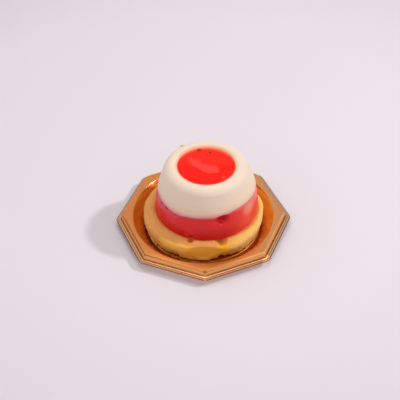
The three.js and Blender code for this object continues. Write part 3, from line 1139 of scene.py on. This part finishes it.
# %% [markdown]
# ### Sponge
#
# Sponge is matt, warm and yellow, and darker where the crust was. Shade is painted in its
# hollows, over a jelly stain, and under the torn foot, over damp crumb. The flat face at the
# front is the deepest ochre; the right side and the flank that meets the light are painted
# paler as light, and so is a band low on the side, for light thrown up by the tray. The colour
# is driven by place and by the mottle; the finest pores are bump, since the larger ones are
# already in the mesh. Next to the jelly the crumb has drunk some of it.

# %% Finish of the sponge
# Painted shade in the hole and the notch beside the jelly, over a jelly stain, listed as (place,
# size, colour).
POCKET_SHADE_AND_STAIN = [
    ((-6.7, -25.3, 12.6), 1.3, (0.42, 0.07, 0.004)),
    ((8.1, -25.8, 11.6), 1.9, (0.52, 0.17, 0.012)),
]

sponge_crumb, tree, shader, vector = new_finish("sponge_crumb")
x, y, z = axes(tree, vector)
blotch = mottled(tree, vector, 7, 1.8)
crumb = mottled(tree, vector, 1.1, 2.2)
colour = tint(tree, blotch, (0.80, 0.36, 0.085), (0.72, 0.28, 0.055))
colour = tint(tree, times(tree, crumb, 0.3), colour, (0.88, 0.47, 0.16))
# Painted light: the right of the sponge, towards the lamp, is paler and yellower.
colour = tint(tree, fade(tree, x, 6, 22), colour, (0.90, 0.52, 0.135))

wander = more(tree, crumb, 0.8, z)
side = times(tree, fade(tree, wander, 12.4, 11.9), fade(tree, y, -20, -24))
colour = tint(tree, side, colour, (0.98, 0.49, 0.085))
# Painted light: the flank that meets the lamp is the palest.
lit_flank = times(tree, fade(tree, z, 12.2, 10), fade(tree, x, 10, 22))
colour = tint(tree, lit_flank, colour, (1.0, 0.62, 0.19))
face = times(tree, side, times(tree, fade(tree, x, -9.5, -8), fade(tree, x, 14, 11)))
ochre = tint(tree, fade(tree, x, 5, 8), (1.0, 0.445, 0.036), (0.92, 0.44, 0.016))
colour = tint(tree, face, colour, ochre)

# Painted light low on the side, thrown up by the tray; below it painted shade under the torn foot,
# partly damp crumb.
colour = tint(tree, fade(tree, wander, FLOOR + 6.0, FLOOR + 2.2), colour, (1.0, 0.60, 0.17))
colour = tint(tree, fade(tree, wander, FLOOR + 1.5, FLOOR + 1.1), colour, (0.45, 0.12, 0.015))
soaked = fade(tree, more(tree, blotch, -1.6, reach_from(tree, vector, CAKE_X)), 26.6, 25.4)
colour = tint(tree, times(tree, soaked, 0.75), colour, (0.72, 0.10, 0.03))
colour = spots(tree, vector, colour, POCKET_SHADE_AND_STAIN, crumb)
settle(tree, shader, colour, {
    "Roughness": 0.85,
    "Subsurface Weight": 0.3,
    "Subsurface Radius": (1.0, 0.5, 0.2),
    "Subsurface Scale": 1.5 * MM,
})
bump(tree, shader, noise_at(tree, vector, 0.45, 4), 0.6, 0.15)
dress(sponge, sponge_crumb, "sponge", "sponge_base")
dress(loose_crumbs, sponge_crumb, "sponge")

# %% [markdown]
# ### Jelly
#
# The jelly is clear enough for light to travel some way in, so it glows at the right, where
# the lamp is, and goes dark at the foot. Subsurface light does that, and painted light adds to
# it: the right side is painted a brighter orange red. Its colour also changes: cream has bled
# into the top few millimetres, a narrow pink band at the front and a wide one at both sides,
# and the foot is the deepest red. Where the lamp shines through the right of it, a cloudy
# patch of painted light turns coral. The pit has painted shade under its upper edge and a
# painted highlight on its lower edge.

# %% Finish of the jelly
# Spots listed as (place, size, colour): a magenta patch at the left and a dark patch low at the
# front left in the jelly's own tone, then painted shade under the upper edge of the pit and a
# painted highlight on its lower edge.
CLOUDS = [
    ((-13.9, -17.9, 24.1), 2.6, (0.74, 0.055, 0.11)),
    ((-10.1, -22.0, 15.9), 1.5, (0.44, 0.002, 0.002)),
    ((9.4, -22.9, 25.6), 1.1, (0.24, 0.001, 0.002)),
    ((8.4, -23.8, 21.4), 0.7, (0.92, 0.11, 0.13)),
]
GLOW_PLACE = (21.8, -14.4, 24.6)

jelly_red, tree, shader, vector = new_finish("jelly_red")
join = use_group(tree, over_join, vector)
side = join.outputs["Side"]
below = times(tree, join.outputs["Above"], -1.0)
cloud = mottled(tree, vector, 6, 2.0)
deep = fade(tree, below, 3.0, 12.0)
colour = tint(tree, deep, (0.82, 0.018, 0.022), (0.64, 0.003, 0.001))
# Painted light: the right side, towards the lamp, is a brighter orange red.
colour = tint(tree, fade(tree, side, 0.3, 0.95), colour, (0.97, 0.058, 0.028))
colour = tint(tree, times(tree, cloud, 0.13), colour, (0.88, 0.07, 0.07))

band = more(tree, fade(tree, math_node(tree, "ABSOLUTE", side), 0.45, 1.0), 4.6, 1.2)
band = times(tree, band, math_node(tree, "ADD", cloud, 0.5))
bled = fade(tree, math_node(tree, "DIVIDE", below, band), 1.0, 0.0)
pink = tint(tree, fade(tree, side, -0.4, 0.2), (0.76, 0.09, 0.17), (0.96, 0.135, 0.13))
pink = tint(tree, fade(tree, side, 0.3, 0.85), pink, (0.95, 0.19, 0.18))
colour = tint(tree, bled, colour, pink)
# Painted light: the coral patch where the lamp shines through the right.
from_glow = more(tree, cloud, 4.0, distance_to(tree, vector, GLOW_PLACE))
colour = tint(tree, times(tree, fade(tree, from_glow, 8.5, 2.5), 0.9), colour, (1.0, 0.27, 0.15))
colour = spots(tree, vector, colour, CLOUDS, cloud)
settle(tree, shader, colour, {
    "Roughness": 0.24,
    "Specular IOR Level": 0.25,
    "Subsurface Weight": 0.6,
    "Subsurface Radius": (1.0, 0.25, 0.2),
    "Subsurface Scale": 3.0 * MM,
})
bump(tree, shader, noise_at(tree, vector, 2.5, 3), 0.25, 0.1)
dress(jelly, jelly_red, "strawberry_jelly", "strawberry_layer")

# %% [markdown]
# ### Cheese cream
#
# Set cream is nearly white with a warm cast, satin, and slightly translucent, which softens
# every shadow on it. Near the join it is painted warmer, as light thrown back by the sponge,
# the tray and the jelly, and it takes a little pink from the jelly, mostly at the left. A thin
# rim round the sauce is stained peach and painted lighter, as light through the thin cream, a
# little wider at the back.

# %% Finish of the cream
cream_white, tree, shader, vector = new_finish("cream_white")
x, y, z = axes(tree, vector)
join = use_group(tree, over_join, vector)
above = join.outputs["Above"]
cloud = mottled(tree, vector, 9, 1.5)
colour = tint(tree, cloud, (0.90, 0.735, 0.595), (0.87, 0.69, 0.54))
# Painted light: warmer towards the join, for light thrown back by the sponge, the tray and the
# jelly.
colour = tint(tree, fade(tree, above, 7.5, 2.0), colour, (0.90, 0.66, 0.50))
stain = fade(tree, math_node(tree, "DIVIDE", above, more(tree, cloud, 1.8, 1.2)), 1.3, -0.3)
left = fade(tree, join.outputs["Side"], 0.75, 0.15)
colour = tint(tree, times(tree, stain, more(tree, left, 0.8, 0.2)), colour, (0.92, 0.22, 0.235))
# A peach stain round the sauce, painted lighter over the shade of the dish's lip, as light through
# the thin cream.
from_pool = distance_to(tree, vector, (SAUCE_X, 0, SAUCE_TOP))
rim = fade(tree, more(tree, fade(tree, y, 4, 14), -0.5, from_pool), 15.7, 14.3)
colour = tint(tree, times(tree, rim, 0.8), colour, (1.0, 0.36, 0.20))
settle(tree, shader, colour, {
    "Roughness": 0.5,
    "Specular IOR Level": 0.35,
    "Subsurface Weight": 0.35,
    "Subsurface Radius": (1.0, 0.7, 0.5),
    "Subsurface Scale": 2.0 * MM,
})
bump(tree, shader, noise_at(tree, vector, 1.2, 4), 0.15, 0.05)
dress(cream, cream_white, "cheese_cream", "cheese_layer")

# %% [markdown]
# ### Sauce
#
# The sauce is the brightest red on the cake, wet and smooth. A painted sheen runs along the
# fold that the spoon left, lighter and pinker, soft at its upper edge and crisp at its lower
# one. The rim, thin over the white cream, turns orange. The line of the fold is the one that
# shaped the mesh, given to the shader as a curve.


# %% A curve for the line of the fold
def curve_node(tree, source, points):
    """A smooth curve through (along, across) points in millimetres."""
    start, stop = points[0][0], points[-1][0]
    low = min(across for along, across in points)
    span = max(across for along, across in points) - low
    share = add(tree, "ShaderNodeMapRange", {"From Min": start, "From Max": stop})
    tree.links.new(source, share.inputs["Value"])
    node = add(tree, "ShaderNodeFloatCurve")
    curve = node.mapping.curves[0]
    knots = [((along - start) / (stop - start), (across - low) / span) for along, across in points]
    curve.points[0].location = knots[0]
    curve.points[1].location = knots[-1]
    for knot in knots[1:-1]:
        curve.points.new(*knot)
    node.mapping.update()
    tree.links.new(share.outputs["Result"], node.inputs["Value"])
    return more(tree, node.outputs["Value"], span, low)


# %% Finish of the sauce
DEEP_SPOTS = [
    ((10.1, -2.6, SAUCE_TOP), 0.8, (0.84, 0.005, 0.002)),
    ((14.3, -1.6, SAUCE_TOP), 0.4, (0.66, 0.008, 0.003)),
    ((9.9, -9.0, SAUCE_TOP), 0.7, (0.86, 0.085, 0.055)),
    ((8.3, -6.2, SAUCE_TOP), 0.6, (0.78, 0.006, 0.004)),
    ((-7.7, 10.5, SAUCE_TOP), 0.4, (0.52, 0.020, 0.010)),
    ((-12.9, 0.7, SAUCE_TOP), 0.8, (0.64, 0.060, 0.014)),
]

sauce_red, tree, shader, vector = new_finish("sauce_red")
x, y, z = axes(tree, vector)
blur = mottled(tree, vector, 5, 2.0)
off = math_node(tree, "SUBTRACT", y, curve_node(tree, x, FOLD_LINE))
off = math_node(tree, "DIVIDE", off, curve_node(tree, x, FOLD_WIDTH))
ragged = times(tree, blur, 0.5)
upper = fade(tree, math_node(tree, "ADD", off, ragged), 1.5, 0.5)
lower = fade(tree, math_node(tree, "SUBTRACT", off, ragged), -1.45, -1.15)
ends = times(tree, fade(tree, x, -9.5, -5.5), fade(tree, x, 8.6, 6.4))
fold_sheen = times(tree, times(tree, upper, lower), ends)

colour = tint(tree, fade(tree, y, -1.0, 2.5), (0.97, 0.006, 0.001), (0.98, 0.018, 0.005))
colour = tint(tree, times(tree, blur, 0.35), colour, (1.0, 0.035, 0.02))
# Painted sheen along the fold.
colour = tint(tree, fold_sheen, colour, (1.0, 0.055, 0.045))
colour = spots(tree, vector, colour, DEEP_SPOTS)
from_middle = distance_to(tree, vector, (SAUCE_X, 0, SAUCE_TOP))
inward = more(tree, fade(tree, y, 4, 12), 1.0, from_middle)
edge = tint(tree, fade(tree, y, -2, 6), (1.0, 0.05, 0.02), (1.0, 0.17, 0.07))
colour = tint(tree, fade(tree, inward, 13.3, 14.8), colour, edge)
settle(tree, shader, colour, {
    "Roughness": 0.16,
    "Specular IOR Level": 0.12,
    "Subsurface Weight": 0.3,
    "Subsurface Radius": (1.0, 0.2, 0.15),
    "Subsurface Scale": 1.5 * MM,
})
bump(tree, shader, noise_at(tree, vector, 1.8, 2), 0.2, 0.06)
dress(sauce, sauce_red, "strawberry_sauce", "strawberry_sauce")

# %% [markdown]
# ### Small things
#
# Seeds are dark and shiny from the juice round them, the fruit in the pit is a deep wet red,
# and the skin of the burst bubble is a pale gold. Each is a mottle of two tones.


# %% Finishes of the small things
def small_finish(name, light, dark, size, roughness):
    """A wet or dry organic finish in two tones."""
    material, tree, shader, vector = new_finish(name)
    colour = tint(tree, mottled(tree, vector, size, 2.5), light, dark)
    settle(tree, shader, colour, {"Roughness": roughness, "Specular IOR Level": 0.2})
    bump(tree, shader, noise_at(tree, vector, size / 2, 3), 0.4, 0.08)
    return material


seed_brown = small_finish("seed_brown", (0.46, 0.020, 0.004), (0.26, 0.006, 0.001), 0.6, 0.35)
seed_dark = small_finish("seed_dark", (0.30, 0.006, 0.008), (0.14, 0.003, 0.004), 0.6, 0.35)
fruit_red = small_finish("fruit_red", (0.88, 0.014, 0.030), (0.38, 0.002, 0.005), 1.3, 0.3)
pale_skin = small_finish("pale_skin", (0.97, 0.80, 0.52), (0.50, 0.34, 0.14), 1.5, 0.4)
dress(sauce_seeds, seed_brown, "strawberry_sauce")
dress(jelly_seeds, seed_dark, "strawberry_jelly")
dress(fruit, fruit_red, "strawberry_jelly")
dress(bubble, pale_skin, "cheese_cream")

# %% [markdown]
# ## Floor, light and camera
#
# The setting is a plain pale table, painted a little darker away from the cake as the light
# falls off. The polished tray throws some light down on the table before its front edge; a
# renderer finds that light only slowly, so the paint glows faintly there instead.

# %% The floor
set_down()
bpy.ops.mesh.primitive_plane_add(size=4)
table = bpy.context.object
table.name = "pale_table"
paint, tree, shader, vector = new_finish("pale_paint")
x, y, z = axes(tree, vector)
colour = tint(tree, mottled(tree, vector, 60, 1.0), (0.812, 0.742, 0.782), (0.802, 0.730, 0.772))
# Painted shade: the table darkens away from a point behind the cake, as the light falls off.
from_bright = distance_to(tree, vector, (0, 66, 0))
colour = tint(tree, fade(tree, from_bright, 120, 260), colour, (0.725, 0.665, 0.695))
below_tray = times(tree, fade(tree, eight_sided(tree, x, y), 48.0, 41.5), fade(tree, y, -18, -34))
glow = tint(tree, below_tray, (0.0, 0.0, 0.0), (0.20, 0.18, 0.185))
tree.links.new(glow, shader.inputs["Emission Color"])
settle(tree, shader, colour, {
    "Emission Strength": 1.0,
    "Roughness": 0.7,
    "Specular IOR Level": 0.1,
})
table.data.materials.append(paint)

# %% [markdown]
# The light is soft from all round, with one lamp from the right, a little behind, at 44
# degrees. It is a small disc, which gives the shadow its narrow soft edge. A softbox right
# above lights the top of the cream, and a wide, weak panel behind is there to be mirrored: it
# gives the sheet its pale sheen. The world fills the rest, a little stronger from the left and
# the front. The camera stands where the photograph was taken from, half a metre away, looking
# down at 42 degrees through a long lens.


# %% Light
def area_light(name, shape, size, energy, place):
    """A light of (width, depth) metres at a place, facing the origin."""
    data = bpy.data.lights.new(name, "AREA")
    data.shape = shape
    data.size = size[0]
    data.size_y = size[1]
    data.energy = energy
    light = bpy.data.objects.new(name, data)
    bpy.context.scene.collection.objects.link(light)
    light.location = place
    light.rotation_euler = light.location.to_track_quat("Z", "Y").to_euler()


LAMP_DISTANCE = 1.6
LAMP_RISE = math.radians(44)
LAMP_TURN = math.radians(4)
lamp_place = LAMP_DISTANCE * Vector((
    math.cos(LAMP_RISE) * math.cos(LAMP_TURN),
    math.cos(LAMP_RISE) * math.sin(LAMP_TURN),
    math.sin(LAMP_RISE),
))
area_light("lamp", "DISK", (0.11, 0.11), 9.6, lamp_place)
area_light("softbox", "SQUARE", (0.45, 0.45), 1.55, (0, 0, 0.75))
area_light("back_panel", "RECTANGLE", (1.6, 0.9), 0.75, (0, 1.1, 1.02))

world = bpy.data.worlds.new("soft_room")
bpy.context.scene.world = world
world.use_nodes = True
tree = world.node_tree
background = tree.nodes["Background"]
background.inputs["Color"].default_value = (1, 1, 1, 1)
outward = add(tree, "ShaderNodeTexCoord")
x, y, z = axes(tree, outward.outputs["Generated"])
strength = more(tree, y, -0.08, more(tree, x, -0.16, 0.5))
tree.links.new(strength, background.inputs["Strength"])

# %% Camera
CAMERA_PLACE = Vector((-5.87, -387.96, 361.75))
LOOK_DOWN = math.radians(41.67)
LOOK_RIGHT = math.radians(0.626)
ROLL = math.radians(-0.52)
camera_data = bpy.data.cameras.new("camera")
camera_data.lens = 92.36
camera_data.sensor_width = 36
camera_data.clip_start = 0.01
camera = bpy.data.objects.new("camera", camera_data)
bpy.context.scene.collection.objects.link(camera)
camera.location = CAMERA_PLACE * MM
aim = Euler((math.pi / 2 - LOOK_DOWN, 0, -LOOK_RIGHT)).to_matrix() @ Matrix.Rotation(ROLL, 3, "Z")
camera.rotation_euler = aim.to_euler()
bpy.context.scene.camera = camera
bpy.context.scene.view_settings.view_transform = "Standard"
